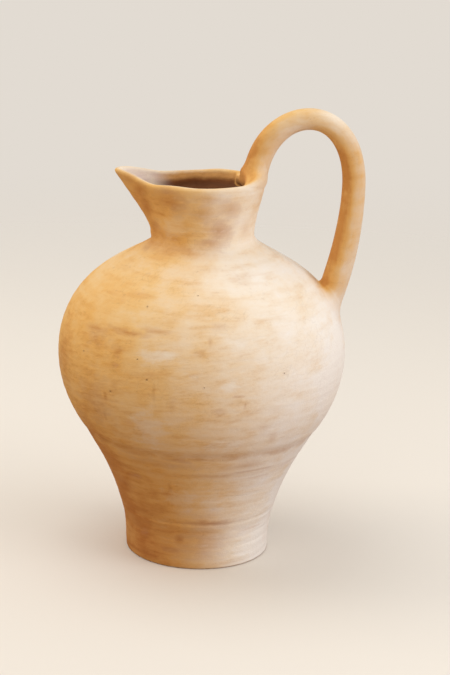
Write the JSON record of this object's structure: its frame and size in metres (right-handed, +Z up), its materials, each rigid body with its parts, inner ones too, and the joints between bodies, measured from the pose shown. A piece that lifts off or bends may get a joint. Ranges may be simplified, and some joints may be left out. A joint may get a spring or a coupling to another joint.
{
  "type": "ceramic jug",
  "caption": "Free-standing round-bellied clay pitcher with a flat base, a pulled pouring spout and a tall loop handle from rim to shoulder.",
  "frame": {"origin": "centre of the flat base, on the surface that the jug stands on", "axes": "+Z up along the jug's axis, +X towards the handle, -X towards the spout"},
  "size_m": [0.2317, 0.222, 0.3514],
  "materials": {
    "body_clay": "matt fired clay with a cream slip and an ochre wash",
    "neck_clay": "matt fired clay with a cream slip and an ochre wash, brown inside",
    "handle_clay": "matt fired clay with a cream slip and an ochre wash"
  },
  "bodies": {
    "root": {"foot": "body_clay", "lower_body": "body_clay", "belly": "body_clay", "neck": "neck_clay", "handle": "handle_clay", "upper_handle_collar": "handle_clay", "lower_handle_collar": "handle_clay"}
  },
  "joints": []
}
